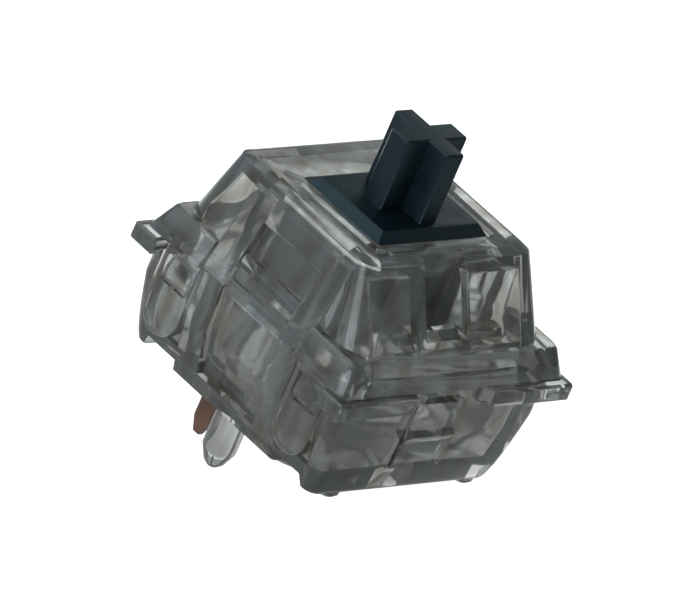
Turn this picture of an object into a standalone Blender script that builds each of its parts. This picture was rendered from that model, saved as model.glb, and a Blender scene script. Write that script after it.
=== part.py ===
"""Mechanical keyboard switch with a cross stem, a translucent housing and five locating points.

Units are metres and +Z is up. X runs east, along the long side of the stem's cross. Y runs north, towards the
solder pins. The origin lies under the stem, level with the tips of the solder pins.
"""

import math

import bmesh
import bpy
import numpy as np
from mathutils import Matrix, Vector

# Heights above the underside of the base, which stands on the circuit board
PIN_LENGTH = 0.0028
PLATE_TOP = 0.0050
FLANGE_THICKNESS = 0.00095
COVER_TOP = 0.0113
STEM_TOP = 0.01545
TRAVEL = 0.0040

# Outline of the housing
BODY_WIDTH = 0.0140
FLANGE_REACH = 0.0008
FLANGE_EDGE = 0.00012
EAR_LENGTH = 0.00165
CATCH_GAP_WIDTH = 0.0042
CATCH_GAP_SLOPE = 0.0005

# Base shell
BASE_SIDE_TAPER = 0.0011
BASE_END_TAPER = 0.00045
BASE_FOOT_BEVEL = 0.0003
NOTCH_HEIGHT = 0.0007
NOTCH_DEPTH = 0.0009
NOTCH_SLOPE = 0.0004
BASE_DRAFT_TOP = 0.0038
BASE_CURVE_TOP = 0.0030
BASE_CURVE_STEPS = 5
BASE_CORNER = 0.0006
BASE_WALL = 0.0010
BASE_FLOOR = 0.0013
PAD_RADIUS = 0.0006
PAD_HEIGHT = 0.0004
PAD_INSET = 0.0006
PAD_SOUTH_WEST_X = -0.0040
PAD_SOUTH_EAST_X = 0.0050
PAD_NORTH_X = -0.0010

# Locating posts below the base
POST_RADIUS = 0.0020
POST_LENGTH = 0.0024
POST_CHAMFER = 0.0003
PEG_RADIUS = 0.00085
PEG_LENGTH = 0.0028
PEG_TAPER = 0.0010
PEG_TIP = 0.00025
PEG_TIP_RADIUS = 0.00052
PEG_X = 0.00508

# Ribs and bays on the west and east sides
RIB_WIDTH = 0.0015
RIB_GAP = 0.0001
RIB_PROUD = 0.00025
BAY_DEPTH = 0.00045
BAY_LOW = 0.0010
APRON_DROP = 0.0003
POCKET_LOW = 0.0077
POCKET_HIGH = 0.0094
POCKET_DEPTH = 0.00035
STEP_LOW = 0.0064
STEP_HIGH = 0.0073
STEP_DEPTH = 0.0002

# Clip legs of the cover and the lugs that they hook over
LEG_WIDTH = 0.0024
LEG_CORNER_INSET = 0.0009
LEG_THICKNESS = 0.0007
LEG_LOW = 0.0015
LEG_TOP = 0.0068
LEG_CORNER = 0.0011
LEG_CLEARANCE = 0.00005
LEG_WINDOW_LOW = 0.0040
LEG_WINDOW_HIGH = 0.0054
LEG_WINDOW_MARGIN = 0.0003
LUG_CLEARANCE = 0.00004
LUG_PROUD = 0.00062
LUG_SLOPE = 0.00025

# Plate catches on the north and south sides
CATCH_WIDTH = 0.0030
CATCH_SLIT = 0.0003
CATCH_LOW = 0.0014
CATCH_NOSE = 0.0003
CATCH_NOSE_HEIGHT = 0.0033
CATCH_NOSE_RISE = 0.0006
CATCH_WINDOW_WIDTH = 0.0022
CATCH_WINDOW_LOW = 0.0050
CATCH_WINDOW_HIGH = 0.0054

# Cover shell
SEAM = 0.00004
COVER_WALL = 0.0009
COVER_ROOF = 0.0012
COVER_SIDE_TOP = 0.00555
COVER_SOUTH_TOP = 0.0041
COVER_NORTH_TOP = 0.0056
COVER_SOUTH_INSET = 0.0003
COVER_NORTH_INSET = 0.0002
COVER_SOUTH_KINK = 0.00724
COVER_NORTH_KINK = 0.0076
COVER_EDGE = 0.0002
COVER_EDGE_INSET = 0.0003
COVER_CORNER_TOP = 0.0007
COVER_CORNER_FOOT = 0.0018
CAVITY_CORNER = 0.0002
SKIRT_TOP = 0.0075
SKIRT_LEDGE = 0.00035
SKIRT_SLOPE = 0.00055
SKIRT_EDGE = 0.00012
SKIRT_CORNER = 0.0005

# Light slot at the south edge of the cover
LIGHT_SLOT_WIDTH = 0.0028
LIGHT_SLOT_SHIFT = -0.00045
LIGHT_SLOT_BACK = 0.0039
LIGHT_SLOT_WALL = 0.0006
LIGHT_SLOT_LOW = 0.0080
LIGHT_CHANNEL_LOW = 0.0069
SOUTH_RIB_WIDTH = 0.0071
SOUTH_RIB_LOW = 0.0075
SOUTH_RIB_HIGH = 0.0079
SOUTH_RIB_REACH = 0.0006
LIP_DEPTH = 0.0003
LIP_RISE = 0.00012
LIP_LENGTH = 0.0019
BASE_LIGHT_SLOT_WIDTH = 0.0026
BASE_LIGHT_SLOT_LENGTH = 0.0015
BASE_LIGHT_SLOT_INSET = 0.0013

# Stem
SHOULDER_WIDTH = 0.00724
SHOULDER_DEPTH = 0.0055
SHOULDER_CHAMFER = 0.00043
SHOULDER_CHAMFER_LOW = 0.01123
SHOULDER_TOP = 0.01169
STEM_CORNER = 0.00012
STEM_CLEARANCE = 0.00010
CROSS_LENGTH = 0.0040
CROSS_WIDTH_ALONG = 0.00130
CROSS_WIDTH_ACROSS = 0.00117
CROSS_EDGE = 0.0001
STEM_BODY_LOW = 0.0064
WING_LOW = 0.0062
WING_WIDTH = 0.0039
POLE_RADIUS = 0.0011
POLE_LOW = 0.0034
POLE_TIP = 0.0003
SPRING_POCKET_RADIUS = 0.00235
SPRING_POCKET_TOP = 0.0096
STOP_GAP = 0.00005

# Bore and collar that the pole runs in
BORE_CLEARANCE = 0.00012
BORE_LOW = -0.0017
COLLAR_WALL = 0.0004
COLLAR_TOP = 0.0024

# Stem legs that hold the contact open
STEM_LEG_X = 0.00145
STEM_LEG_WIDTH = 0.0009
STEM_LEG_LOW = 0.0063
STEM_LEG_TOP = 0.0090
NOSE_HEIGHT = 0.0003
NOSE_SLOPE_HEIGHT = 0.0008
NOSE_DEPTH = 0.0008

# Return spring
WIRE_DIAMETER = 0.0003
COIL_DIAMETER = 0.0044
ACTIVE_TURNS = 8
CLOSED_TURNS = 1.25
CLOSED_PITCH = 1.08
POINTS_PER_TURN = 14
SPRING_SEAT_GAP = 0.00003

# Terminals and contacts
SHEET = 0.0003
PIN_WIDTH = 0.0010
PIN_TIP_LENGTH = 0.0007
PIN_TIP_WIDTH = 0.0004
TERMINAL_CLEARANCE = 0.00006
FIXED_PIN_X = -0.00381
MOVING_PIN_X = 0.00254
MOVING_PIN_INSET = 0.00192
PIN_STAGGER = 0.00254
TERMINAL_FOOT = 0.0014
TERMINAL_STRIP = 0.0007
FIXED_TAB_TOP = 0.0042
BLADE_WIDTH = 0.0010
BLADE_TOP = 0.0056
CARRIER_TOP = 0.0030
LEAF_THICKNESS = 0.00012
LEAF_GAP = 0.00004
LEAF_WIDTH = 0.0038
LEAF_FOOT = 0.0016
LEAF_ROOT_HEIGHT = 0.0012
LEAF_TONGUE_WIDTH = 0.0010
LEAF_TONGUE_TOP = 0.0057
LEAF_ARM_TOP = 0.0071
LEAF_BUMP_REACH = 0.0003
LEAF_BUMP_HALF_HEIGHT = 0.0002
LEAF_BUMP_HEIGHT = 0.0066
LEAF_BUMP_CLEARANCE = 0.00003
CONTACT_HEIGHT = 0.0052
CONTACT_LENGTH = 0.0008
CONTACT_BAR = 0.00024
CONTACT_REACH = 0.00014
CONTACT_SEAT_GAP = 0.00001
CONTACT_OPENING = 0.00032

# Fineness of rounded shapes
CORNER_STEPS = 4
CIRCLE_STEPS = 32
SHARP_ANGLE = math.radians(35)


def z_at(height):
    """World height of a level that is given above the underside of the base."""
    return PIN_LENGTH + height


# Values that several pieces share

FLANGE_WIDTH = BODY_WIDTH + 2 * FLANGE_REACH
FLANGE_TOP = PLATE_TOP + FLANGE_THICKNESS
COVER_LOW = FLANGE_TOP + SEAM
ROOF_UNDER = COVER_TOP - COVER_ROOF
COVER_SOUTH_FOOT = BODY_WIDTH / 2 - COVER_SOUTH_INSET
COVER_NORTH_FOOT = BODY_WIDTH / 2 - COVER_NORTH_INSET
LEG_OUTER_X = BODY_WIDTH / 2
LEG_INNER_X = LEG_OUTER_X - LEG_THICKNESS
RECESS_X = LEG_INNER_X - LEG_CLEARANCE
LEG_OUTER_Y = BODY_WIDTH / 2 - LEG_CORNER_INSET
LEG_INNER_Y = LEG_OUTER_Y - LEG_WIDTH
RIB_OUTER_Y = LEG_INNER_Y - RIB_GAP
RIB_INNER_Y = RIB_OUTER_Y - RIB_WIDTH
WING_TOP = ROOF_UNDER - STOP_GAP
CHANNEL_Y = WING_WIDTH / 2 + STEM_CLEARANCE
CHANNEL_X = abs(FIXED_PIN_X) + SHEET / 2 + TERMINAL_CLEARANCE + STEM_CLEARANCE
BORE_RADIUS = POLE_RADIUS + BORE_CLEARANCE
MOVING_PIN_Y = BODY_WIDTH / 2 - MOVING_PIN_INSET
FIXED_PIN_Y = MOVING_PIN_Y - PIN_STAGGER
LEAF_NORTH_Y = MOVING_PIN_Y - SHEET / 2 - LEAF_GAP
LEAF_SOUTH_Y = LEAF_NORTH_Y - LEAF_THICKNESS
NOSE_Y = LEAF_SOUTH_Y - LEAF_BUMP_REACH - LEAF_BUMP_CLEARANCE
BLADE_NORTH_Y = LEAF_SOUTH_Y - 2 * (CONTACT_REACH + CONTACT_SEAT_GAP) - CONTACT_OPENING
STEM_LEG_INNER_X = STEM_LEG_X - STEM_LEG_WIDTH / 2


def cover_side(height):
    """Half width of the cover from west to east."""
    return float(np.interp(height, (PLATE_TOP, COVER_TOP), (BODY_WIDTH / 2, COVER_SIDE_TOP)))


COVER_CAVITY_X = cover_side(ROOF_UNDER) - COVER_WALL


def cover_south(height):
    return float(np.interp(height, (COVER_SOUTH_KINK, COVER_TOP), (COVER_SOUTH_FOOT, COVER_SOUTH_TOP)))


def cover_north(height):
    return float(np.interp(height, (COVER_NORTH_KINK, COVER_TOP), (COVER_NORTH_FOOT, COVER_NORTH_TOP)))


def cover_corner(height):
    """Radius of the cover's corners, which widen towards the skirt."""
    return float(np.interp(height, (COVER_SOUTH_KINK, COVER_TOP), (COVER_CORNER_FOOT, COVER_CORNER_TOP)))


def base_side(height):
    """Half width of the base from west to east, which tapers towards the board."""
    return BODY_WIDTH / 2 - float(np.interp(height, (0.0, BASE_DRAFT_TOP), (BASE_SIDE_TAPER, 0.0)))


def base_end(height):
    """Half depth of the base from south to north, which curves in towards the board."""
    share = min(height / BASE_CURVE_TOP, 1.0)
    swing = math.sqrt(1 - (1 - share) ** 2)
    return BODY_WIDTH / 2 - BASE_END_TAPER * (1 - swing)


# Shape helpers


def new_material(name, colour, roughness, metallic=0.0, transmission=0.0):
    material = bpy.data.materials.new(name)
    material.use_nodes = True
    shader = material.node_tree.nodes["Principled BSDF"]
    shader.inputs["Base Color"].default_value = (*colour, 1.0)
    shader.inputs["Roughness"].default_value = roughness
    shader.inputs["Metallic"].default_value = metallic
    shader.inputs["Transmission Weight"].default_value = transmission
    return material


def object_from(shape, name):
    """An object made from a finished bmesh, which is freed."""
    bmesh.ops.recalc_face_normals(shape, faces=shape.faces)
    mesh = bpy.data.meshes.new(name)
    shape.to_mesh(mesh)
    shape.free()
    piece = bpy.data.objects.new(name, mesh)
    bpy.context.scene.collection.objects.link(piece)
    return piece


def fillet(back, corner, onward, radius):
    """The points of an arc that takes the place of one corner."""
    here = Vector(corner)
    to_back = (Vector(back) - here).normalized()
    to_onward = (Vector(onward) - here).normalized()
    half = to_back.angle(to_onward) / 2
    centre = here + (to_back + to_onward).normalized() * (radius / math.sin(half))
    start = here + to_back * (radius / math.tan(half)) - centre
    end = here + to_onward * (radius / math.tan(half)) - centre
    sweep = start.angle_signed(end)
    turn = [Matrix.Rotation(-sweep * step / CORNER_STEPS, 2) for step in range(CORNER_STEPS + 1)]
    return [tuple(centre + rotation @ start) for rotation in turn]


def rounded(outline, radii):
    """The outline with an arc in place of each corner whose radius isn't zero."""
    points = []
    for index, (corner, radius) in enumerate(zip(outline, radii)):
        if radius:
            onward = outline[(index + 1) % len(outline)]
            points += fillet(outline[index - 1], corner, onward, radius)
        else:
            points.append(corner)
    return points


def rectangle(low_a, high_a, low_b, high_b):
    return [(low_a, low_b), (high_a, low_b), (high_a, high_b), (low_a, high_b)]


def on_axis(axis, pair, depth):
    """A point from its place in a plane and its depth along the axis normal to that plane."""
    a, b = pair
    return {"X": (depth, a, b), "Y": (a, depth, b), "Z": (a, b, depth)}[axis]


def slab(name, outline, low, high, axis="Z", edge=0.0):
    """An outline extruded along one axis, with its sharp edges bevelled by edge."""
    shape = bmesh.new()
    face = shape.faces.new([shape.verts.new(on_axis(axis, pair, low)) for pair in outline])
    grown = bmesh.ops.extrude_face_region(shape, geom=[face])
    moved = [item for item in grown["geom"] if isinstance(item, bmesh.types.BMVert)]
    bmesh.ops.translate(shape, vec=on_axis(axis, (0.0, 0.0), high - low), verts=moved)
    if edge:
        sharp = [item for item in shape.edges if item.calc_face_angle() > SHARP_ANGLE]
        bmesh.ops.bevel(shape, geom=sharp, offset=edge, segments=1, affect="EDGES")
    return object_from(shape, name)


def block(name, x, y, z, edge=0.0):
    """A box from its low and high value on each axis."""
    return slab(name, rectangle(*x, *y), *z, edge=edge)


def loft(name, rings):
    """A closed skin through rings that hold as many points each."""
    shape = bmesh.new()
    loops = []
    for points in rings:
        verts = [shape.verts.new(point) for point in points]
        loops.append([shape.edges.new(pair) for pair in zip(verts, verts[1:] + verts[:1])])
    for low, high in zip(loops, loops[1:]):
        bmesh.ops.bridge_loops(shape, edges=low + high)
    bmesh.ops.contextual_create(shape, geom=loops[0])
    bmesh.ops.contextual_create(shape, geom=loops[-1])
    return object_from(shape, name)


def box_ring(half_x, south, north, radius, height):
    """A level rectangle with round corners, for a loft."""
    outline = rectangle(-half_x, half_x, -south, north)
    return [(x, y, z_at(height)) for x, y in rounded(outline, [radius] * 4)]


def turned(name, profile, x=0.0, y=0.0, steps=CIRCLE_STEPS):
    """A round solid from (radius, height) pairs, listed from one end to the other."""
    angles = [2 * math.pi * step / steps for step in range(steps)]
    rings = []
    for radius, height in profile:
        rings.append([(x + radius * math.cos(a), y + radius * math.sin(a), z_at(height)) for a in angles])
    return loft(name, rings)


def mirrored(piece, x=1, y=1):
    """A copy of the piece on the other side of the middle."""
    copy = piece.copy()
    copy.data = piece.data.copy()
    copy.data.transform(Matrix.Diagonal((x, y, 1, 1)))
    copy.data.flip_normals()
    bpy.context.scene.collection.objects.link(copy)
    return copy


def west_and_east(piece):
    return [piece, mirrored(piece, x=-1)]


def south_and_north(piece):
    return [piece, mirrored(piece, y=-1)]


def four_corners(piece):
    pair = west_and_east(piece)
    return pair + [mirrored(item, y=-1) for item in pair]


def combine(piece, tools, operation):
    """Joins the tools to the piece or cuts them out of it, one by one, and removes them."""
    for tool in tools:
        modifier = piece.modifiers.new(tool.name, "BOOLEAN")
        modifier.operation = operation
        modifier.solver = "EXACT"
        modifier.object = tool
        graph = bpy.context.evaluated_depsgraph_get()
        made = bpy.data.meshes.new_from_object(piece.evaluated_get(graph))
        piece.modifiers.clear()
        piece.data = made
        bpy.data.objects.remove(tool)


def join(piece, tools):
    combine(piece, tools, "UNION")


def cut(piece, tools):
    combine(piece, tools, "DIFFERENCE")


def finish(piece, material):
    """Gives a finished piece its material and its shading."""
    piece.data.materials.clear()
    piece.data.materials.append(material)
    piece.data.shade_smooth()
    piece.data.set_sharp_from_angle(angle=SHARP_ANGLE)
    return piece


def move_origin(piece, place):
    """Puts the object's origin at a point and leaves its shape where it is."""
    piece.data.transform(Matrix.Translation(-Vector(place)))
    piece.location = place


# Bottom housing


def base_shell():
    """The drafted box that drops through the plate."""
    curve = [BASE_CURVE_TOP * (step / BASE_CURVE_STEPS) ** 2 for step in range(1, BASE_CURVE_STEPS + 1)]
    foot_x = base_side(0.0) - BASE_FOOT_BEVEL
    rings = [box_ring(foot_x, base_end(0.0), base_end(0.0), BASE_CORNER, 0.0)]
    for height in sorted(curve + [BASE_FOOT_BEVEL, BASE_DRAFT_TOP, FLANGE_TOP]):
        half_y = base_end(height)
        rings.append(box_ring(base_side(height), half_y, half_y, BASE_CORNER, height))
    return loft("bottom_housing", rings)


def flange():
    """The square collar that rests on the plate, cut back at the clip legs and at the plate catches."""
    far = FLANGE_WIDTH / 2
    near = BODY_WIDTH / 2 - LEG_CLEARANCE
    gap = CATCH_GAP_WIDTH / 2
    ear = far - EAR_LENGTH
    quarter = [(gap, near), (gap + CATCH_GAP_SLOPE, far), (far, far), (far, ear), (near, ear)]
    outline = list(quarter)
    outline += [(x, -y) for x, y in reversed(quarter)]
    outline += [(-x, -y) for x, y in quarter]
    outline += [(-x, y) for x, y in reversed(quarter)]
    return slab("flange", outline, z_at(PLATE_TOP), z_at(FLANGE_TOP), edge=FLANGE_EDGE)


def base_cavity():
    """The open inside of the base."""
    rings = []
    for height in (BASE_FLOOR, BASE_CURVE_TOP, BASE_DRAFT_TOP, FLANGE_TOP + BASE_WALL):
        half_x = min(base_side(height) - BASE_WALL, RECESS_X - BASE_WALL / 2)
        half_y = base_end(height) - BASE_WALL
        rings.append(box_ring(half_x, half_y, half_y, CAVITY_CORNER, height))
    return loft("base_cavity", rings)


def side_bay():
    """The sunk bay between the two ribs of the east side, which leaves a bar near the board."""
    low = base_side(BAY_LOW) - BAY_DEPTH
    high = base_side(BASE_DRAFT_TOP) - BAY_DEPTH
    outline = [
        (low, z_at(BAY_LOW)),
        (BODY_WIDTH, z_at(BAY_LOW)),
        (BODY_WIDTH, z_at(COVER_LOW)),
        (high, z_at(COVER_LOW)),
        (high, z_at(BASE_DRAFT_TOP)),
    ]
    return slab("side_bay", outline, -RIB_INNER_Y, RIB_INNER_Y, axis="Y")


def leg_recess():
    """Room for one clip leg in the wall of the base."""
    y = (LEG_INNER_Y - LEG_CLEARANCE, LEG_OUTER_Y + LEG_CLEARANCE)
    z = (z_at(LEG_LOW - LEG_CLEARANCE), z_at(FLANGE_TOP + BASE_WALL))
    return block("leg_recess", (RECESS_X, FLANGE_WIDTH), y, z)


def foot_notch():
    """The step in the foot of the base under one clip leg, with a sloped outer end."""
    outline = [
        (LEG_INNER_Y, z_at(-NOTCH_HEIGHT)),
        (LEG_OUTER_Y + NOTCH_SLOPE / 2, z_at(-NOTCH_HEIGHT)),
        (LEG_OUTER_Y - NOTCH_SLOPE, z_at(NOTCH_HEIGHT)),
        (LEG_INNER_Y, z_at(NOTCH_HEIGHT)),
    ]
    return slab("foot_notch", outline, base_side(0.0) - NOTCH_DEPTH, FLANGE_WIDTH, axis="X")


def lug():
    """The wedge in a clip leg's window, sloped so that the leg rides over it."""
    low = z_at(LEG_WINDOW_LOW + LUG_CLEARANCE)
    high = z_at(LEG_WINDOW_HIGH - LUG_CLEARANCE)
    root = RECESS_X - BASE_WALL / 4
    tip = RECESS_X + LUG_PROUD
    outline = [(root, low), (tip, low), (tip, (low + high) / 2), (tip - LUG_SLOPE, high), (root, high)]
    margin = LEG_WINDOW_MARGIN + LUG_CLEARANCE
    return slab("lug", outline, LEG_INNER_Y + margin, LEG_OUTER_Y - margin, axis="Y")


def catch_slit():
    """One of the two slits that free the north plate catch from the wall."""
    x = (CATCH_WIDTH / 2, CATCH_WIDTH / 2 + CATCH_SLIT)
    y = (BODY_WIDTH / 2 - 1.5 * BASE_WALL, FLANGE_WIDTH)
    return block("catch_slit", x, y, (z_at(CATCH_LOW), z_at(PLATE_TOP)))


def catch_window():
    """The slot above the north catch."""
    half = CATCH_WINDOW_WIDTH / 2
    y = (BODY_WIDTH / 2 - 1.5 * BASE_WALL, FLANGE_WIDTH)
    return block("catch_window", (-half, half), y, (z_at(CATCH_WINDOW_LOW), z_at(CATCH_WINDOW_HIGH)))


def catch_nose():
    """The wedge on the north catch that snaps under the plate."""
    wall = BODY_WIDTH / 2
    root = wall - BASE_WALL / 2
    tip = z_at(CATCH_NOSE_HEIGHT)
    outline = [
        (root, tip - 2 * CATCH_NOSE_RISE),
        (wall + CATCH_NOSE, tip),
        (root, tip + CATCH_NOSE_RISE),
    ]
    return slab("catch_nose", outline, -CATCH_WIDTH / 2, CATCH_WIDTH / 2, axis="X")


def centre_post():
    profile = [
        (POST_RADIUS - POST_CHAMFER, -POST_LENGTH),
        (POST_RADIUS, POST_CHAMFER - POST_LENGTH),
        (POST_RADIUS, BASE_FLOOR / 2),
    ]
    return turned("centre_post", profile)


def collar():
    """The tube round the bore, which also centres the spring."""
    radius = BORE_RADIUS + COLLAR_WALL
    return turned("collar", [(radius, BASE_FLOOR / 2), (radius, COLLAR_TOP)])


def pole_bore():
    return turned("pole_bore", [(BORE_RADIUS, BORE_LOW), (BORE_RADIUS, COLLAR_TOP + BASE_FLOOR)])


def locating_peg():
    """The east peg, which narrows to a blunt tip."""
    profile = [
        (PEG_TIP_RADIUS - PEG_TIP, -PEG_LENGTH),
        (PEG_TIP_RADIUS, PEG_TIP - PEG_LENGTH),
        (PEG_RADIUS, PEG_TAPER - PEG_LENGTH),
        (PEG_RADIUS, BASE_FLOOR / 2),
    ]
    return turned("locating_peg", profile, x=PEG_X, steps=CIRCLE_STEPS // 2)


def board_pad(x, y):
    """One of the low round pads that stand on the board."""
    profile = [
        (PAD_RADIUS - PAD_HEIGHT / 2, -PAD_HEIGHT),
        (PAD_RADIUS, -PAD_HEIGHT / 2),
        (PAD_RADIUS, 0.75 * BASE_FLOOR),
    ]
    return turned("board_pad", profile, x, y, steps=CIRCLE_STEPS // 2)


def board_pads():
    y = base_end(0.0) - PAD_INSET
    places = ((PAD_SOUTH_WEST_X, -y), (PAD_SOUTH_EAST_X, -y), (PAD_NORTH_X, y))
    return [board_pad(x, y) for x, y in places]


def channel_cheek(low, high, outer_low, outer_high):
    """One cheek of the channel that a stem wing slides in."""
    bottom = z_at(low)
    top = z_at(high)
    outline = [(CHANNEL_X, bottom), (outer_low, bottom), (outer_high, top), (CHANNEL_X, top)]
    return slab("channel_cheek", outline, CHANNEL_Y, CHANNEL_Y + RIB_WIDTH, axis="Y")


def wing_stop():
    """The ledge that a stem wing lands on at full travel."""
    top = WING_LOW - TRAVEL - STOP_GAP
    outer = base_side(BASE_FLOOR) - BASE_WALL / 2
    y = CHANNEL_Y + RIB_WIDTH / 2
    return block("wing_stop", (CHANNEL_X, outer), (-y, y), (z_at(BASE_FLOOR / 2), z_at(top)))


def terminal_slots():
    """Slots in the floor for the two solder pins."""
    thin = SHEET / 2 + TERMINAL_CLEARANCE
    wide = PIN_WIDTH / 2 + TERMINAL_CLEARANCE
    z = (z_at(-PAD_HEIGHT), z_at(2 * BASE_FLOOR))
    fixed_x = (FIXED_PIN_X - thin, FIXED_PIN_X + thin)
    fixed_y = (FIXED_PIN_Y - wide, FIXED_PIN_Y + wide)
    moving_x = (MOVING_PIN_X - wide, MOVING_PIN_X + wide)
    moving_y = (MOVING_PIN_Y - thin, MOVING_PIN_Y + thin)
    return [block("fixed_slot", fixed_x, fixed_y, z), block("moving_slot", moving_x, moving_y, z)]


def base_light_slot():
    """The opening in the floor under the cover's light slot."""
    half = BASE_LIGHT_SLOT_WIDTH / 2
    x = (LIGHT_SLOT_SHIFT - half, LIGHT_SLOT_SHIFT + half)
    far = BODY_WIDTH / 2 - BASE_LIGHT_SLOT_INSET
    y = (-far, BASE_LIGHT_SLOT_LENGTH - far)
    return block("base_light_slot", x, y, (z_at(-PAD_HEIGHT), z_at(2 * BASE_FLOOR)))


def bottom_housing(material):
    base = base_shell()
    join(base, [flange()])
    cut(base, [base_cavity()])
    cut(base, west_and_east(side_bay()))
    cut(base, four_corners(leg_recess()))
    cut(base, four_corners(foot_notch()))
    join(base, four_corners(lug()))
    outer_low = base_side(BASE_FLOOR / 2) - BASE_WALL / 2
    outer_high = RECESS_X - BASE_WALL / 4
    join(base, four_corners(channel_cheek(BASE_FLOOR / 2, FLANGE_TOP, outer_low, outer_high)))
    join(base, west_and_east(wing_stop()))
    join(base, [centre_post(), collar()])
    join(base, west_and_east(locating_peg()))
    join(base, board_pads())
    join(base, south_and_north(catch_nose()))
    cut(base, four_corners(catch_slit()))
    cut(base, south_and_north(catch_window()))
    cut(base, [pole_bore()])
    cut(base, terminal_slots())
    cut(base, [base_light_slot()])
    return finish(base, material)


# Top housing


def cover_shell():
    """The tapered upper tier, with corners that widen downwards and a softened top edge."""
    rings = []
    for height in sorted((COVER_LOW, COVER_SOUTH_KINK, COVER_NORTH_KINK, COVER_TOP - COVER_EDGE, COVER_TOP)):
        inset = COVER_EDGE_INSET if height == COVER_TOP else 0.0
        sides = [width(height) - inset for width in (cover_side, cover_south, cover_north)]
        rings.append(box_ring(*sides, cover_corner(height), height))
    return loft("top_housing", rings)


def skirt():
    """The lower tier round the corners, open between the ribs on the west and east sides."""
    foot = FLANGE_WIDTH / 2 - SKIRT_LEDGE
    top = foot - SKIRT_SLOPE
    rings = [
        box_ring(foot, foot, foot, SKIRT_CORNER, COVER_LOW),
        box_ring(top, top, top, SKIRT_CORNER, SKIRT_TOP - SKIRT_EDGE),
        box_ring(top - SKIRT_EDGE, top - SKIRT_EDGE, top - SKIRT_EDGE, SKIRT_CORNER, SKIRT_TOP),
    ]
    tier = loft("skirt", rings)
    z = (z_at(PLATE_TOP), z_at(COVER_TOP))
    opening = block("skirt_opening", (BODY_WIDTH / 4, FLANGE_WIDTH), (-RIB_OUTER_Y, RIB_OUTER_Y), z)
    cut(tier, west_and_east(opening))
    return tier


def cover_cavity():
    """The open inside of the cover, upright on the west and east sides."""
    rings = []
    for height in sorted((PLATE_TOP, COVER_SOUTH_KINK, COVER_NORTH_KINK, ROOF_UNDER)):
        ends = [width(height) - COVER_WALL for width in (cover_south, cover_north)]
        rings.append(box_ring(COVER_CAVITY_X, *ends, CAVITY_CORNER, height))
    return loft("cover_cavity", rings)


def side_rib():
    """One of the upright ribs that the stem's channel stands behind."""
    foot = BODY_WIDTH / 2
    top = COVER_TOP - 1.5 * COVER_EDGE
    outline = [
        (foot - COVER_WALL, z_at(COVER_LOW)),
        (foot, z_at(COVER_LOW)),
        (cover_side(top) + RIB_PROUD, z_at(top - 2 * RIB_PROUD)),
        (cover_side(top) - RIB_PROUD, z_at(top)),
        (cover_side(top) - COVER_WALL / 2, z_at(top)),
    ]
    return slab("side_rib", outline, RIB_INNER_Y, RIB_OUTER_Y, axis="Y")


def apron():
    """The cover's foot between the ribs, which hangs into the base's bay."""
    inner = BODY_WIDTH / 2 - BAY_DEPTH + LEG_CLEARANCE
    low = FLANGE_TOP - APRON_DROP
    high = COVER_LOW + COVER_WALL / 4
    outline = [
        (inner, z_at(low)),
        (cover_side(low) - LEG_CLEARANCE, z_at(low)),
        (cover_side(high) - LEG_CLEARANCE, z_at(high)),
        (inner, z_at(high)),
    ]
    half = RIB_INNER_Y - LEG_CLEARANCE
    return slab("apron", outline, -half, half, axis="Y")


def side_pocket(low, high, depth):
    """A shallow pocket in the sloping side between the ribs."""
    outline = [
        (cover_side(low) - depth, z_at(low)),
        (BODY_WIDTH, z_at(low)),
        (BODY_WIDTH, z_at(high)),
        (cover_side(high) - depth, z_at(high)),
    ]
    return slab("side_pocket", outline, -RIB_INNER_Y, RIB_INNER_Y, axis="Y")


def clip_leg():
    """One of the four legs that snap over the base, with round lower corners and a window."""
    outline = rectangle(LEG_INNER_Y, LEG_OUTER_Y, z_at(LEG_LOW), z_at(LEG_TOP))
    outline = rounded(outline, (LEG_CORNER, LEG_CORNER, 0.0, 0.0))
    leg = slab("clip_leg", outline, LEG_INNER_X, LEG_OUTER_X, axis="X", edge=LEG_CLEARANCE)
    y = (LEG_INNER_Y + LEG_WINDOW_MARGIN, LEG_OUTER_Y - LEG_WINDOW_MARGIN)
    z = (z_at(LEG_WINDOW_LOW), z_at(LEG_WINDOW_HIGH))
    cut(leg, [block("leg_window", (LEG_INNER_X / 2, BODY_WIDTH), y, z)])
    return leg


def light_channel():
    """The back and side walls of the light slot, open below and sloped with the south face."""
    near = LIGHT_SLOT_WALL - LIGHT_SLOT_BACK
    high = ROOF_UNDER + COVER_ROOF / 2
    skin = COVER_WALL / 3
    outline = [
        (near, z_at(LIGHT_CHANNEL_LOW)),
        (near, z_at(high)),
        (skin - cover_south(high), z_at(high)),
        (skin - cover_south(LIGHT_CHANNEL_LOW), z_at(LIGHT_CHANNEL_LOW)),
    ]
    half = LIGHT_SLOT_WIDTH / 2 + LIGHT_SLOT_WALL
    return slab("light_channel", outline, LIGHT_SLOT_SHIFT - half, LIGHT_SLOT_SHIFT + half, axis="X")


def south_rib():
    """The level rib inside the south wall, below the light slot."""
    skin = COVER_WALL / 2
    reach = COVER_WALL + SOUTH_RIB_REACH
    outline = [
        (skin - cover_south(SOUTH_RIB_LOW), z_at(SOUTH_RIB_LOW)),
        (reach - cover_south(SOUTH_RIB_LOW), z_at(SOUTH_RIB_LOW)),
        (reach - cover_south(SOUTH_RIB_HIGH), z_at(SOUTH_RIB_HIGH)),
        (skin - cover_south(SOUTH_RIB_HIGH), z_at(SOUTH_RIB_HIGH)),
    ]
    half = SOUTH_RIB_WIDTH / 2
    return slab("south_rib", outline, -half, half, axis="X")


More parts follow.
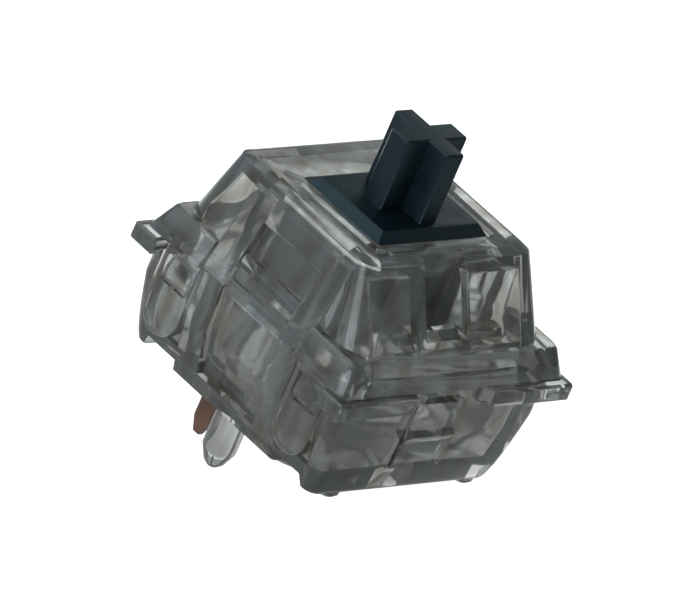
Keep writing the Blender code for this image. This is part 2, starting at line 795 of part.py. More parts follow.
def light_slot():
    """The slot, open at the top and through the south face, and open below behind the south wall."""
    inner_low = COVER_WALL - cover_south(PLATE_TOP)
    inner_kink = COVER_WALL - cover_south(COVER_SOUTH_KINK)
    inner_high = COVER_WALL - cover_south(LIGHT_SLOT_LOW)
    outline = [
        (inner_low, z_at(PLATE_TOP)),
        (-LIGHT_SLOT_BACK, z_at(PLATE_TOP)),
        (-LIGHT_SLOT_BACK, z_at(STEM_TOP)),
        (-BODY_WIDTH, z_at(STEM_TOP)),
        (-BODY_WIDTH, z_at(LIGHT_SLOT_LOW)),
        (inner_high, z_at(LIGHT_SLOT_LOW)),
        (inner_kink, z_at(COVER_SOUTH_KINK)),
    ]
    half = LIGHT_SLOT_WIDTH / 2
    return slab("light_slot", outline, LIGHT_SLOT_SHIFT - half, LIGHT_SLOT_SHIFT + half, axis="X")


def lips():
    """The two low bars that flank the light slot on the top face."""
    far = COVER_EDGE_INSET - cover_south(COVER_TOP)
    z = (z_at(COVER_TOP - COVER_EDGE), z_at(COVER_TOP + LIP_RISE))
    half = LIGHT_SLOT_WIDTH / 2
    east = LIGHT_SLOT_SHIFT + half
    west = LIGHT_SLOT_SHIFT - half
    bars = []
    for x in ((east, east + LIP_LENGTH), (west - LIP_LENGTH, west)):
        bars.append(block("lip", x, (far, far + LIP_DEPTH), z, edge=LIP_RISE / 3))
    return bars


def stem_opening():
    half_x = SHOULDER_WIDTH / 2 + STEM_CLEARANCE
    half_y = SHOULDER_DEPTH / 2 + STEM_CLEARANCE
    rings = [box_ring(half_x, half_y, half_y, STEM_CORNER, height) for height in (POCKET_HIGH, STEM_TOP)]
    return loft("stem_opening", rings)


def top_housing(material):
    cover = cover_shell()
    join(cover, [skirt()])
    join(cover, four_corners(side_rib()))
    join(cover, west_and_east(apron()))
    join(cover, four_corners(clip_leg()))
    cut(cover, west_and_east(side_pocket(POCKET_LOW, POCKET_HIGH, POCKET_DEPTH)))
    cut(cover, west_and_east(side_pocket(STEP_LOW, STEP_HIGH, STEP_DEPTH)))
    cut(cover, [cover_cavity()])
    high = ROOF_UNDER + COVER_ROOF / 2
    outer_low = cover_side(COVER_LOW) - COVER_WALL / 2
    outer_high = cover_side(high) - COVER_WALL / 2
    join(cover, four_corners(channel_cheek(COVER_LOW, high, outer_low, outer_high)))
    join(cover, [south_rib(), light_channel()])
    cut(cover, [light_slot()])
    join(cover, lips())
    cut(cover, [stem_opening()])
    return finish(cover, material)


# Stem


def stem_body():
    """The block that fills the cover's opening, with its sloped shoulder."""
    half_x = SHOULDER_WIDTH / 2
    half_y = SHOULDER_DEPTH / 2
    top_x = half_x - SHOULDER_CHAMFER
    top_y = half_y - SHOULDER_CHAMFER
    rings = [
        box_ring(half_x, half_y, half_y, STEM_CORNER, STEM_BODY_LOW),
        box_ring(half_x, half_y, half_y, STEM_CORNER, SHOULDER_CHAMFER_LOW),
        box_ring(top_x, top_y, top_y, STEM_CORNER, SHOULDER_TOP),
    ]
    return loft("stem", rings)


def cross_arm(half_x, half_y):
    z = (z_at(SHOULDER_TOP - SHOULDER_CHAMFER), z_at(STEM_TOP))
    return block("cross_arm", (-half_x, half_x), (-half_y, half_y), z, edge=CROSS_EDGE)


def wings():
    """The bar whose ends run in the housing's channels."""
    reach = COVER_CAVITY_X - STOP_GAP
    x = (-reach, reach)
    y = (-WING_WIDTH / 2, WING_WIDTH / 2)
    return block("wings", x, y, (z_at(WING_LOW), z_at(WING_TOP)), edge=CROSS_EDGE)


def spring_pocket():
    radius = SPRING_POCKET_RADIUS
    return turned("spring_pocket", [(radius, WING_LOW - STOP_GAP), (radius, SPRING_POCKET_TOP)])


def pole():
    """The round guide under the stem, which runs in the base's bore."""
    profile = [
        (POLE_RADIUS - POLE_TIP, POLE_LOW),
        (POLE_RADIUS, POLE_LOW + POLE_TIP),
        (POLE_RADIUS, SPRING_POCKET_TOP + SHOULDER_CHAMFER),
    ]
    return turned("pole", profile)


def stem_leg():
    """The east leg of the two that hold the contact leaf away from the fixed contact."""
    inner = SPRING_POCKET_RADIUS + STOP_GAP
    nose_top = STEM_LEG_LOW + NOSE_HEIGHT
    outline = [
        (inner, z_at(STEM_LEG_LOW)),
        (NOSE_Y, z_at(STEM_LEG_LOW)),
        (NOSE_Y, z_at(nose_top)),
        (NOSE_Y - NOSE_DEPTH, z_at(nose_top + NOSE_SLOPE_HEIGHT)),
        (NOSE_Y - NOSE_DEPTH, z_at(STEM_LEG_TOP)),
        (inner, z_at(STEM_LEG_TOP)),
    ]
    half = STEM_LEG_WIDTH / 2
    return slab("stem_leg", outline, STEM_LEG_X - half, STEM_LEG_X + half, axis="X")


def stem(material):
    slider = stem_body()
    join(slider, [cross_arm(CROSS_LENGTH / 2, CROSS_WIDTH_ALONG / 2)])
    join(slider, [cross_arm(CROSS_WIDTH_ACROSS / 2, CROSS_LENGTH / 2)])
    join(slider, [wings()])
    cut(slider, [spring_pocket()])
    join(slider, [pole()])
    join(slider, west_and_east(stem_leg()))
    move_origin(slider, (0.0, 0.0, z_at(SHOULDER_TOP)))
    return finish(slider, material)


# Return spring


def return_spring(material):
    """A compression spring with a closed turn and a quarter at each end."""
    radius = (COIL_DIAMETER - WIRE_DIAMETER) / 2
    low = z_at(BASE_FLOOR + SPRING_SEAT_GAP) + WIRE_DIAMETER / 2
    high = z_at(SPRING_POCKET_TOP - SPRING_SEAT_GAP) - WIRE_DIAMETER / 2
    rise = CLOSED_TURNS * CLOSED_PITCH * WIRE_DIAMETER
    turns = ACTIVE_TURNS + 2 * CLOSED_TURNS
    count = round(turns * POINTS_PER_TURN)
    curve = bpy.data.curves.new("return_spring", "CURVE")
    curve.dimensions = "3D"
    curve.bevel_depth = WIRE_DIAMETER / 2
    curve.bevel_resolution = 1
    curve.use_fill_caps = True
    line = curve.splines.new("POLY")
    line.points.add(count)
    knots = (0.0, CLOSED_TURNS, CLOSED_TURNS + ACTIVE_TURNS, turns)
    for index, point in enumerate(line.points):
        turn = turns * index / count
        angle = 2 * math.pi * turn
        z = float(np.interp(turn, knots, (low, low + rise, high - rise, high)))
        point.co = (radius * math.cos(angle), radius * math.sin(angle), z, 1.0)
    spring = bpy.data.objects.new("return_spring", curve)
    bpy.context.scene.collection.objects.link(spring)
    curve.materials.append(material)
    return spring


# Terminals and contacts


def pin_outline(centre):
    """The four lower points of a solder pin, from its left shoulder round to its right one."""
    tip = PIN_TIP_WIDTH / 2
    shoulder = z_at(PIN_TIP_LENGTH - PIN_LENGTH)
    return [
        (centre - PIN_WIDTH / 2, shoulder),
        (centre - tip, z_at(-PIN_LENGTH)),
        (centre + tip, z_at(-PIN_LENGTH)),
        (centre + PIN_WIDTH / 2, shoulder),
    ]


def fixed_terminal(material):
    """The bent strip that carries the fixed contact on a blade between the stem's legs."""
    foot = z_at(TERMINAL_FOOT)
    strip = z_at(TERMINAL_FOOT + TERMINAL_STRIP)
    south = FIXED_PIN_Y - PIN_WIDTH / 2
    north = FIXED_PIN_Y + PIN_WIDTH / 2
    west = FIXED_PIN_X - SHEET / 2
    side = pin_outline(FIXED_PIN_Y) + [
        (north, foot),
        (BLADE_NORTH_Y, foot),
        (BLADE_NORTH_Y, strip),
        (north, strip),
        (north, z_at(FIXED_TAB_TOP)),
        (south, z_at(FIXED_TAB_TOP)),
    ]
    front = [
        (west, foot),
        (BLADE_WIDTH / 2, foot),
        (BLADE_WIDTH / 2, z_at(BLADE_TOP)),
        (-BLADE_WIDTH / 2, z_at(BLADE_TOP)),
        (-BLADE_WIDTH / 2, strip),
        (west, strip),
    ]
    terminal = slab("fixed_terminal", side, west, west + SHEET, axis="X")
    join(terminal, [slab("blade", front, BLADE_NORTH_Y - SHEET, BLADE_NORTH_Y, axis="Y")])
    return finish(terminal, material)


def moving_terminal(material):
    """The strip behind the contact leaf, which it carries."""
    foot = z_at(TERMINAL_FOOT)
    top = z_at(CARRIER_TOP)
    outline = pin_outline(MOVING_PIN_X) + [
        (MOVING_PIN_X + PIN_WIDTH / 2, top),
        (-LEAF_WIDTH / 2, top),
        (-LEAF_WIDTH / 2, foot),
        (MOVING_PIN_X - PIN_WIDTH / 2, foot),
    ]
    south = MOVING_PIN_Y - SHEET / 2
    return finish(slab("moving_terminal", outline, south, south + SHEET, axis="Y"), material)


def leaf_bump():
    """The ridge across the east arm that the stem's leg pushes on."""
    height = z_at(LEAF_BUMP_HEIGHT)
    back = LEAF_SOUTH_Y + LEAF_THICKNESS / 2
    outline = [(back, height - LEAF_BUMP_HALF_HEIGHT), (back, height + LEAF_BUMP_HALF_HEIGHT)]
    for step in range(CORNER_STEPS + 1):
        angle = math.pi * step / CORNER_STEPS
        y = LEAF_SOUTH_Y - LEAF_BUMP_REACH * math.sin(angle)
        outline.append((y, height + LEAF_BUMP_HALF_HEIGHT * math.cos(angle)))
    return slab("leaf_bump", outline, STEM_LEG_INNER_X, LEAF_WIDTH / 2, axis="X")


def contact_leaf(material):
    """The thin spring strip: a middle tongue with the contact and an arm on each side for the stem's legs."""
    foot = z_at(LEAF_FOOT)
    root = z_at(LEAF_FOOT + LEAF_ROOT_HEIGHT)
    half = [
        (LEAF_WIDTH / 2, foot),
        (LEAF_WIDTH / 2, z_at(LEAF_ARM_TOP)),
        (STEM_LEG_INNER_X, z_at(LEAF_ARM_TOP)),
        (STEM_LEG_INNER_X, root),
        (LEAF_TONGUE_WIDTH / 2, root),
        (LEAF_TONGUE_WIDTH / 2, z_at(LEAF_TONGUE_TOP)),
    ]
    outline = half + [(-x, z) for x, z in reversed(half)]
    leaf = slab("contact_leaf", outline, LEAF_SOUTH_Y, LEAF_NORTH_Y, axis="Y")
    join(leaf, west_and_east(leaf_bump()))
    move_origin(leaf, (0.0, LEAF_NORTH_Y, foot))
    return finish(leaf, material)


def fixed_contact(material):
    """A bar across the blade, with its ridge towards the leaf."""
    near = BLADE_NORTH_Y + CONTACT_SEAT_GAP
    height = z_at(CONTACT_HEIGHT)
    outline = [
        (near, height - CONTACT_BAR / 2),
        (near + CONTACT_REACH, height - CONTACT_BAR / 4),
        (near + CONTACT_REACH, height + CONTACT_BAR / 4),
        (near, height + CONTACT_BAR / 2),
    ]
    return finish(slab("fixed_contact", outline, -CONTACT_LENGTH / 2, CONTACT_LENGTH / 2, axis="X"), material)


def moving_contact(material, leaf):
    """An upright bar on the leaf, at right angles to the fixed one."""
    near = LEAF_SOUTH_Y - CONTACT_SEAT_GAP
    outline = [
        (-CONTACT_BAR / 2, near),
        (-CONTACT_BAR / 4, near - CONTACT_REACH),
        (CONTACT_BAR / 4, near - CONTACT_REACH),
        (CONTACT_BAR / 2, near),
    ]
    low = z_at(CONTACT_HEIGHT) - CONTACT_LENGTH / 2
    contact = slab("moving_contact", outline, low, low + CONTACT_LENGTH)
    move_origin(contact, leaf.location)
    contact.parent = leaf
    contact.location = (0.0, 0.0, 0.0)
    return finish(contact, material)


def build():
    for old in list(bpy.data.objects):
        bpy.data.objects.remove(old)
    smoky = new_material("smoky_plastic", (0.22, 0.215, 0.205), 0.18, transmission=0.85)
    navy = new_material("navy_plastic", (0.012, 0.018, 0.026), 0.42)
    copper = new_material("copper_alloy", (0.62, 0.33, 0.20), 0.32, metallic=1.0)
    steel = new_material("spring_steel", (0.55, 0.54, 0.52), 0.28, metallic=1.0)
    gold = new_material("contact_gold", (0.83, 0.62, 0.30), 0.25, metallic=1.0)
    bottom_housing(smoky)
    top_housing(smoky)
    stem(navy)
    return_spring(steel)
    fixed_terminal(copper)
    moving_terminal(copper)
    leaf = contact_leaf(copper)
    fixed_contact(gold)
    moving_contact(gold, leaf)


build()
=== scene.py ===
"""Studio picture of the mechanical keyboard switch, dressed round its CAD frame.

Lengths are in metres, in the frame of the CAD model: +X east, +Y north towards the solder pins, +Z up.
"""

import math

import bmesh
import bpy
from mathutils import Matrix, Vector

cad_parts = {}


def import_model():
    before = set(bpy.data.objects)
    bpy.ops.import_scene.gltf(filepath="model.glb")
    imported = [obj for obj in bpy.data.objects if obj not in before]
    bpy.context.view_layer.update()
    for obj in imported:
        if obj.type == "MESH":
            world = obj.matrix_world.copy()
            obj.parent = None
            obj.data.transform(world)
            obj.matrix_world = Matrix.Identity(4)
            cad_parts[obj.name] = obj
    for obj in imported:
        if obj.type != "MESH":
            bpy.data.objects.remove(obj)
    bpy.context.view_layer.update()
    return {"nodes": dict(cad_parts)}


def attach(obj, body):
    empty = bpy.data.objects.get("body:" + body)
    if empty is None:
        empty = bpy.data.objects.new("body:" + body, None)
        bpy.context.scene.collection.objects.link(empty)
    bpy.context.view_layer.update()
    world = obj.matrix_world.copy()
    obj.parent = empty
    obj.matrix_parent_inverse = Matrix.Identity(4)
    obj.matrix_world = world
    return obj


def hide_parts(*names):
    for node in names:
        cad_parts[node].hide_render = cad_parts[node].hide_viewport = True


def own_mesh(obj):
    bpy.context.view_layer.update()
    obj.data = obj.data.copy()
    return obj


# Camera, as it was fitted to the photograph
CAMERA_PLACE = (-0.477007, -0.370361, 0.293790)
CAMERA_RIGHT = (0.69794, -0.61765, 0.36247)
CAMERA_UP = (0.06250, 0.55674, 0.82833)
CAMERA_LENS = 763.98
SENSOR_WIDTH = 36.0
CLIP_NEAR = 0.05
CLIP_FAR = 20.0

# Noise: where its values begin and end for a spread, and its detail where none is given
NOISE_LOW = 0.3
NOISE_HIGH = 0.7
NOISE_DETAIL = 4.0

# Smoky plastic. The flow makes its surface wavy, and the streaks run down its walls
PLASTIC_IOR = 1.46
PLASTIC_CLARITY = 0.94
PLASTIC_ROUGHNESS = (0.06, 0.12)
SMOKE_COLOUR = (0.31, 0.28, 0.24)
SMOKE_DENSITY = 430.0
FLOW_SCALE = 350.0
FLOW_DETAIL = 1.0
FLOW_STRETCH = (1.0, 1.0, 0.35)
FLOW_DEPTH = 0.00004
FLOW_STRENGTH = 0.25
STREAK_SCALE = 1100.0
STREAK_DETAIL = 1.5
STREAK_STRETCH = (1.0, 1.0, 0.15)
STREAK_TINTS = ((0.50, 0.44, 0.38), (0.92, 0.98, 1.00))

# Navy plastic
NAVY_TINTS = ((0.0014, 0.0040, 0.0060), (0.0022, 0.0052, 0.0078))
NAVY_ROUGHNESS = (0.30, 0.40)
NAVY_CLOUD_SCALE = 900.0
NAVY_SPECULAR = 0.32
NAVY_SHINE = (0.55, 0.85, 1.0, 1.0)
GRAIN_SCALE = 16000.0
GRAIN_DETAIL = 3.0
GRAIN_DEPTH = 0.00001
GRAIN_STRENGTH = 0.3

# Metals. The stretches draw the fine lines out along one or two axes
COPPER_TINTS = ((0.13, 0.078, 0.060), (0.22, 0.130, 0.100))
COPPER_ROUGHNESS = (0.24, 0.42)
COPPER_STRETCH = (1.0, 1.0, 0.06)
STEEL_TINTS = ((0.50, 0.49, 0.47), (0.64, 0.63, 0.60))
STEEL_ROUGHNESS = (0.15, 0.35)
STEEL_STRETCH = (0.05, 0.05, 1.0)
GOLD_TINTS = ((0.80, 0.60, 0.29), (0.88, 0.70, 0.38))
GOLD_ROUGHNESS = (0.12, 0.24)
GOLD_STRETCH = (1.0, 0.1, 1.0)
METAL_CLOUD_SCALE = 500.0
LINE_SCALE = 3000.0
LINE_DETAIL = 6.0
LINE_DEPTH = 0.00001
LINE_STRENGTH = 0.4

# Softened edges
HOUSING_EDGE = 0.00007
STEM_EDGE = 0.00011
EDGE_ANGLE = math.radians(28)
EDGE_SEGMENTS = 2
WELD_DISTANCE = 0.000001
FLAT_ANGLE = math.radians(0.5)

# Return spring, in the heights of the CAD node
SPRING_LOW = 0.00413
SPRING_HIGH = 0.01237
WIRE_RADIUS = 0.00015
COIL_RADIUS = 0.00205
CLOSED_TURNS = 1.25
ACTIVE_TURNS = 8
SPRING_TURNS = ACTIVE_TURNS + 2 * CLOSED_TURNS
CLOSED_PITCH = 1.08
STEPS_PER_TURN = 40
WIRE_SIDES = 12
WIRE_END_ANGLE = math.radians(50)

# Floor
FLOOR_SIZE = 6.0
FLOOR_TINTS = ((0.60, 0.61, 0.61), (0.62, 0.62, 0.62))
FLOOR_CLOUD_SCALE = 3.0
FLOOR_ROUGHNESS = 0.6
FLOOR_SEEN = 1.0
GLOW_COLOUR = (0.97, 0.99, 1.0, 1.0)
GLOW_CENTRE = (0.032, 0.025, 0.0)
GLOW_NEAR = 0.012
GLOW_FAR = 0.052
GLOW_BRIGHT = 1.42
GLOW_DIM = 0.06

# Room. A start is the cosine of the angle from the side at which its light begins
ROOM_COLOUR = (0.86, 0.96, 1.0, 1.0)
ROOM_LIGHT = 0.30
ROOM_SEEN = 1.1
SOFT_BOX_SIDE = (-0.52, 0.60, 0.60)
SOFT_BOX_START = 0.75
SOFT_BOX_LIGHT = 1.8
BACKDROP_SIDE = (0.71, 0.55, 0.30)
BACKDROP_START = 0.3
BACKDROP_LIGHT = 0.22

# Key light
KEY_PLACE = (-0.50, -0.14, 0.14)
KEY_TARGET = (0.0, 0.0, 0.008)
KEY_SIZE = 0.60
KEY_WATTS = 3.4
KEY_COLOUR = (0.90, 0.97, 1.0)

# Bounces of light
ALL_BOUNCES = 24
PLASTIC_BOUNCES = 20
GLOSSY_BOUNCES = 8
TRANSPARENT_BOUNCES = 16


def new_material(name):
    """A material with its Principled shader, and its nodes and links."""
    material = bpy.data.materials.new(name)
    material.use_nodes = True
    return material, material.node_tree.nodes, material.node_tree.links


def noise(nodes, links, scale, detail=NOISE_DETAIL, stretch=None):
    """A noise texture in object space, drawn out where stretch is given."""
    place = nodes.new("ShaderNodeTexCoord")
    texture = nodes.new("ShaderNodeTexNoise")
    texture.inputs["Scale"].default_value = scale
    texture.inputs["Detail"].default_value = detail
    if stretch:
        mapping = nodes.new("ShaderNodeMapping")
        mapping.inputs["Scale"].default_value = stretch
        links.new(place.outputs["Object"], mapping.inputs["Vector"])
        links.new(mapping.outputs["Vector"], texture.inputs["Vector"])
    else:
        links.new(place.outputs["Object"], texture.inputs["Vector"])
    return texture.outputs["Fac"]


def spread(nodes, links, source, limits):
    """The noise value, spread between two limits."""
    node = nodes.new("ShaderNodeMapRange")
    node.inputs["From Min"].default_value = NOISE_LOW
    node.inputs["From Max"].default_value = NOISE_HIGH
    node.inputs["To Min"].default_value = limits[0]
    node.inputs["To Max"].default_value = limits[1]
    links.new(source, node.inputs["Value"])
    return node.outputs["Result"]


def tint(nodes, links, source, colours):
    """A colour between two colours, picked by the noise value."""
    ramp = nodes.new("ShaderNodeValToRGB")
    for index, position in enumerate((NOISE_LOW, NOISE_HIGH)):
        ramp.color_ramp.elements[index].position = position
        ramp.color_ramp.elements[index].color = (*colours[index], 1.0)
    links.new(source, ramp.inputs["Fac"])
    return ramp.outputs["Color"]


def bump(nodes, links, source, depth, strength):
    """A surface raised and lowered by the noise value."""
    node = nodes.new("ShaderNodeBump")
    node.inputs["Distance"].default_value = depth
    node.inputs["Strength"].default_value = strength
    links.new(source, node.inputs["Height"])
    return node.outputs["Normal"]


def smoky_plastic():
    """Clear moulded plastic, greyed by the depth that light crosses and streaked by its flow in the mould."""
    material, nodes, links = new_material("smoky_plastic_look")
    shader = nodes["Principled BSDF"]
    flow = noise(nodes, links, FLOW_SCALE, FLOW_DETAIL, FLOW_STRETCH)
    streak = noise(nodes, links, STREAK_SCALE, STREAK_DETAIL, STREAK_STRETCH)
    links.new(tint(nodes, links, streak, STREAK_TINTS), shader.inputs["Base Color"])
    links.new(spread(nodes, links, flow, PLASTIC_ROUGHNESS), shader.inputs["Roughness"])
    links.new(bump(nodes, links, flow, FLOW_DEPTH, FLOW_STRENGTH), shader.inputs["Normal"])
    shader.inputs["IOR"].default_value = PLASTIC_IOR
    shader.inputs["Transmission Weight"].default_value = PLASTIC_CLARITY
    smoke = nodes.new("ShaderNodeVolumeAbsorption")
    smoke.inputs["Color"].default_value = (*SMOKE_COLOUR, 1.0)
    smoke.inputs["Density"].default_value = SMOKE_DENSITY
    links.new(smoke.outputs["Volume"], nodes["Material Output"].inputs["Volume"])
    return material


def navy_plastic():
    """Opaque moulded plastic with the fine bloom of a slider."""
    material, nodes, links = new_material("navy_plastic_look")
    shader = nodes["Principled BSDF"]
    cloud = noise(nodes, links, NAVY_CLOUD_SCALE)
    grain = noise(nodes, links, GRAIN_SCALE, GRAIN_DETAIL)
    links.new(tint(nodes, links, cloud, NAVY_TINTS), shader.inputs["Base Color"])
    links.new(spread(nodes, links, cloud, NAVY_ROUGHNESS), shader.inputs["Roughness"])
    links.new(bump(nodes, links, grain, GRAIN_DEPTH, GRAIN_STRENGTH), shader.inputs["Normal"])
    shader.inputs["Specular IOR Level"].default_value = NAVY_SPECULAR
    shader.inputs["Specular Tint"].default_value = NAVY_SHINE
    return material


def metal(name, tints, roughness, stretch):
    """Bare metal with the fine lines that rolling or drawing leaves."""
    material, nodes, links = new_material(name)
    shader = nodes["Principled BSDF"]
    lines = noise(nodes, links, LINE_SCALE, LINE_DETAIL, stretch)
    cloud = noise(nodes, links, METAL_CLOUD_SCALE)
    links.new(tint(nodes, links, cloud, tints), shader.inputs["Base Color"])
    links.new(spread(nodes, links, lines, roughness), shader.inputs["Roughness"])
    links.new(bump(nodes, links, lines, LINE_DEPTH, LINE_STRENGTH), shader.inputs["Normal"])
    shader.inputs["Metallic"].default_value = 1.0
    return material


def soften(node, edge):
    """Rounds the edges of a CAD node, after its flat faces are made whole."""
    weld = node.modifiers.new("weld", "WELD")
    weld.merge_threshold = WELD_DISTANCE
    flat = node.modifiers.new("flat", "DECIMATE")
    flat.decimate_type = "DISSOLVE"
    flat.angle_limit = FLAT_ANGLE
    soft = node.modifiers.new("soft", "BEVEL")
    soft.width = edge
    soft.segments = EDGE_SEGMENTS
    soft.limit_method = "ANGLE"
    soft.angle_limit = EDGE_ANGLE
    soft.harden_normals = True


def dress(node, material, edge=0.0):
    """Gives a CAD node its material and, where edge is set, softly rounded edges."""
    node.data.materials.clear()
    node.data.materials.append(material)
    if edge:
        soften(node, edge)
    node.data.shade_smooth()


def spring_centre(turn):
    """A point on the wire's centre line, after that many turns from the foot."""
    low = SPRING_LOW + WIRE_RADIUS
    high = SPRING_HIGH - WIRE_RADIUS
    rise = CLOSED_TURNS * CLOSED_PITCH * 2 * WIRE_RADIUS
    if turn < CLOSED_TURNS:
        height = low + rise * turn / CLOSED_TURNS
    elif turn > SPRING_TURNS - CLOSED_TURNS:
        height = high - rise * (SPRING_TURNS - turn) / CLOSED_TURNS
    else:
        height = low + rise + (high - low - 2 * rise) * (turn - CLOSED_TURNS) / ACTIVE_TURNS
    angle = 2 * math.pi * turn
    return Vector((COIL_RADIUS * math.cos(angle), COIL_RADIUS * math.sin(angle), height))


def wire_ring(shape, turn):
    """The corners round the wire, after that many turns from the foot."""
    centre = spring_centre(turn)
    outward = Vector((centre.x, centre.y, 0.0)).normalized()
    upward = Vector((0.0, 0.0, 1.0))
    ring = []
    for side in range(WIRE_SIDES):
        angle = 2 * math.pi * side / WIRE_SIDES
        offset = outward * math.cos(angle) + upward * math.sin(angle)
        ring.append(shape.verts.new(centre + offset * WIRE_RADIUS))
    return ring


def spring_mesh():
    """The coil as one round wire, closed at both ends."""
    shape = bmesh.new()
    count = round(SPRING_TURNS * STEPS_PER_TURN)
    rings = [wire_ring(shape, SPRING_TURNS * index / count) for index in range(count + 1)]
    for low, high in zip(rings, rings[1:]):
        for side in range(WIRE_SIDES):
            after = (side + 1) % WIRE_SIDES
            shape.faces.new((low[side], low[after], high[after], high[side]))
    shape.faces.new(rings[0])
    shape.faces.new(rings[-1])
    bmesh.ops.recalc_face_normals(shape, faces=shape.faces)
    mesh = bpy.data.meshes.new("coil_spring")
    shape.to_mesh(mesh)
    shape.free()
    mesh.shade_smooth()
    mesh.set_sharp_from_angle(angle=WIRE_END_ANGLE)
    return mesh


def spring(material):
    """The return spring, fixed to the housing at the heights of its CAD node; it is not squeezed as the stem
    goes down.
    """
    mesh = spring_mesh()
    coil = bpy.data.objects.new("coil_spring", mesh)
    bpy.context.scene.collection.objects.link(coil)
    mesh.materials.append(material)
    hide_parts("return_spring")
    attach(coil, "housing")
    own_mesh(coil)


def seen_by_camera(nodes, links, shown, hidden):
    """One strength for what the camera sees directly and another for what lights the object."""
    path = nodes.new("ShaderNodeLightPath")
    mix = nodes.new("ShaderNodeMix")
    links.new(path.outputs["Is Camera Ray"], mix.inputs["Factor"])
    links.new(hidden, mix.inputs["A"])
    mix.inputs["B"].default_value = shown
    return mix.outputs["Result"]


def ramp_between(nodes, links, source, start, end, first, last):
    """A smooth change from the first value to the last as the source goes from start to end."""
    node = nodes.new("ShaderNodeMapRange")
    node.interpolation_type = "SMOOTHSTEP"
    node.inputs["From Min"].default_value = start
    node.inputs["From Max"].default_value = end
    node.inputs["To Min"].default_value = first
    node.inputs["To Max"].default_value = last
    links.new(source, node.inputs["Value"])
    return node.outputs["Result"]


def glow(nodes, links):
    """The floor's light, which fades away from a spot north-east of the object."""
    place = nodes.new("ShaderNodeTexCoord")
    reach = nodes.new("ShaderNodeVectorMath")
    reach.operation = "DISTANCE"
    reach.inputs[1].default_value = GLOW_CENTRE
    links.new(place.outputs["Object"], reach.inputs[0])
    return ramp_between(nodes, links, reach.outputs["Value"], GLOW_NEAR, GLOW_FAR, GLOW_BRIGHT, GLOW_DIM)


def light_table():
    """White plastic lit from below, evenly bright to the camera."""
    material, nodes, links = new_material("light_table")
    shader = nodes["Principled BSDF"]
    cloud = noise(nodes, links, FLOOR_CLOUD_SCALE)
    links.new(tint(nodes, links, cloud, FLOOR_TINTS), shader.inputs["Base Color"])
    shader.inputs["Roughness"].default_value = FLOOR_ROUGHNESS
    shader.inputs["Emission Color"].default_value = GLOW_COLOUR
    strength = seen_by_camera(nodes, links, FLOOR_SEEN, glow(nodes, links))
    links.new(strength, shader.inputs["Emission Strength"])
    return material


def floor():
    """The white sheet under the object."""
    mesh = bpy.data.meshes.new("floor")
    half = FLOOR_SIZE / 2
    corners = [(-half, -half, 0), (half, -half, 0), (half, half, 0), (-half, half, 0)]
    mesh.from_pydata(corners, [], [(0, 1, 2, 3)])
    sheet = bpy.data.objects.new("floor", mesh)
    bpy.context.scene.collection.objects.link(sheet)
    mesh.materials.append(light_table())


def lobe(nodes, links, side, start, strength):
    """Light from one side of the room, which fades away from that side."""
    place = nodes.new("ShaderNodeTexCoord")
    facing = nodes.new("ShaderNodeVectorMath")
    facing.operation = "DOT_PRODUCT"
    facing.inputs[1].default_value = Vector(side).normalized()
    links.new(place.outputs["Generated"], facing.inputs[0])
    return ramp_between(nodes, links, facing.outputs["Value"], start, 1.0, 0.0, strength)


def add(nodes, links, first, second):
    """The sum of a node's value and another's."""
    node = nodes.new("ShaderNodeMath")
    links.new(first, node.inputs[0])
    links.new(second, node.inputs[1])
    return node.outputs["Value"]


def room():
    """A dim room with a large soft box to the north-west and a pale backdrop to the north-east."""
    world = bpy.data.worlds.new("room")
    bpy.context.scene.world = world
    world.use_nodes = True
    nodes = world.node_tree.nodes
    links = world.node_tree.links
    dim = nodes.new("ShaderNodeValue")
    dim.outputs["Value"].default_value = ROOM_LIGHT
    soft_box = lobe(nodes, links, SOFT_BOX_SIDE, SOFT_BOX_START, SOFT_BOX_LIGHT)
    backdrop = lobe(nodes, links, BACKDROP_SIDE, BACKDROP_START, BACKDROP_LIGHT)
    light = add(nodes, links, add(nodes, links, soft_box, backdrop), dim.outputs["Value"])
    nodes["Background"].inputs["Color"].default_value = ROOM_COLOUR
    links.new(seen_by_camera(nodes, links, ROOM_SEEN, light), nodes["Background"].inputs["Strength"])


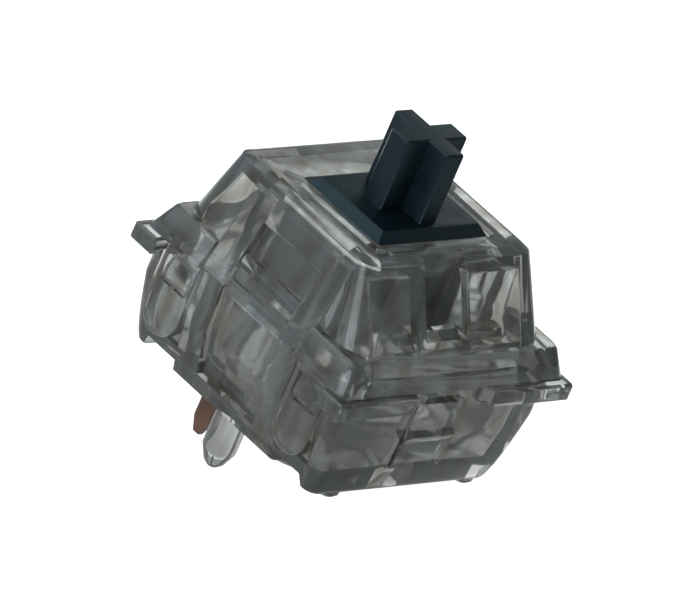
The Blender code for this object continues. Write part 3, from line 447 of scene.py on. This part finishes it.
def key_light():
    """A large disk of light, low in the west and a little to the south."""
    data = bpy.data.lights.new("key", "AREA")
    data.shape = "DISK"
    data.size = KEY_SIZE
    data.energy = KEY_WATTS
    data.color = KEY_COLOUR
    lamp = bpy.data.objects.new("key", data)
    bpy.context.scene.collection.objects.link(lamp)
    lamp.location = KEY_PLACE
    lamp.rotation_mode = "QUATERNION"
    lamp.rotation_quaternion = (Vector(KEY_TARGET) - Vector(KEY_PLACE)).to_track_quat("-Z", "Y")


def camera():
    """The camera at the photograph's viewing angle."""
    data = bpy.data.cameras.new("camera")
    data.lens = CAMERA_LENS
    data.sensor_width = SENSOR_WIDTH
    data.clip_start = CLIP_NEAR
    data.clip_end = CLIP_FAR
    shot = bpy.data.objects.new("camera", data)
    bpy.context.scene.collection.objects.link(shot)
    right = Vector(CAMERA_RIGHT).normalized()
    up = Vector(CAMERA_UP)
    up = (up - right * up.dot(right)).normalized()
    back = right.cross(up)
    turn = Matrix((right, up, back)).transposed().to_4x4()
    shot.matrix_world = Matrix.Translation(CAMERA_PLACE) @ turn
    bpy.context.scene.camera = shot


def light_paths():
    """Enough bounces for light to cross several walls of clear plastic."""
    settings = bpy.context.scene.cycles
    settings.max_bounces = ALL_BOUNCES
    settings.transmission_bounces = PLASTIC_BOUNCES
    settings.glossy_bounces = GLOSSY_BOUNCES
    settings.transparent_max_bounces = TRANSPARENT_BOUNCES
    bpy.context.scene.view_settings.view_transform = "Standard"


def dress_nodes(nodes):
    """Gives each CAD node but the return spring its look."""
    smoky = smoky_plastic()
    copper = metal("copper_alloy_look", COPPER_TINTS, COPPER_ROUGHNESS, COPPER_STRETCH)
    gold = metal("contact_gold_look", GOLD_TINTS, GOLD_ROUGHNESS, GOLD_STRETCH)
    dress(nodes["top_housing"], smoky, HOUSING_EDGE)
    dress(nodes["bottom_housing"], smoky, HOUSING_EDGE)
    dress(nodes["stem"], navy_plastic(), STEM_EDGE)
    for name in ("fixed_terminal", "moving_terminal", "contact_leaf"):
        dress(nodes[name], copper)
    for name in ("fixed_contact", "moving_contact"):
        dress(nodes[name], gold)


def main():
    """Builds the dressed part and its studio."""
    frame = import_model()
    dress_nodes(frame["nodes"])
    spring(metal("spring_steel_look", STEEL_TINTS, STEEL_ROUGHNESS, STEEL_STRETCH))
    floor()
    room()
    key_light()
    camera()
    light_paths()


main()
